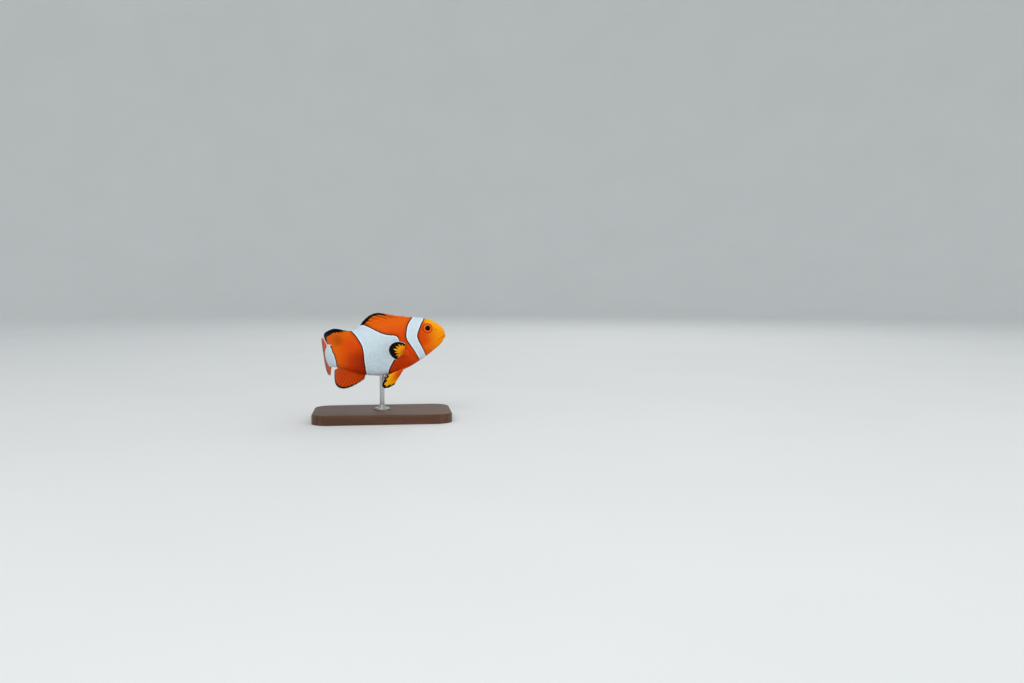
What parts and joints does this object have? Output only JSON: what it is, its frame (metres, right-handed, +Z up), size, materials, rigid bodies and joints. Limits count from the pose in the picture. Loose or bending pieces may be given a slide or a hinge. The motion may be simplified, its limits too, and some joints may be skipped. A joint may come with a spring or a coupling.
{
  "type": "clownfish",
  "caption": "Life-size clownfish model, swimming with its tail swept to one side, held over a flat base by one short rod.",
  "frame": {"origin": "centre of the base's underside, under the rod", "axes": "+X towards the fish's snout, +Z up, so the fish's right side faces -Y and its tail bends towards +Y"},
  "size_m": [0.072, 0.0513, 0.0569],
  "materials": {
    "orange_skin": "moist, finely scaled fish skin, orange with black-edged white bars",
    "white_skin": "moist, finely scaled fish skin, bluish white",
    "fin_orange": "thin rayed fin, orange with a black margin and a white rim",
    "eye_glass": "clear wet cornea over an orange iris and a black pupil",
    "walnut": "oiled dark wood with eased edges",
    "steel": "turned and brushed"
  },
  "bodies": {
    "root": {"head": "orange_skin", "lower_jaw": "orange_skin", "gill_cover_right": "white_skin", "gill_cover_left": "white_skin", "trunk": "orange_skin", "rear_body": "orange_skin", "tail_stem": "white_skin", "tail_fin": "fin_orange", "dorsal_fin_front": "fin_orange", "dorsal_fin_rear": "fin_orange", "anal_fin": "fin_orange", "pectoral_fin_right": "fin_orange", "pectoral_fin_left": "fin_orange", "pelvic_fin_right": "fin_orange", "pelvic_fin_left": "fin_orange", "eye_right": "eye_glass", "eye_left": "eye_glass", "stand_base": "walnut", "stand_rod": "steel"}
  },
  "joints": []
}
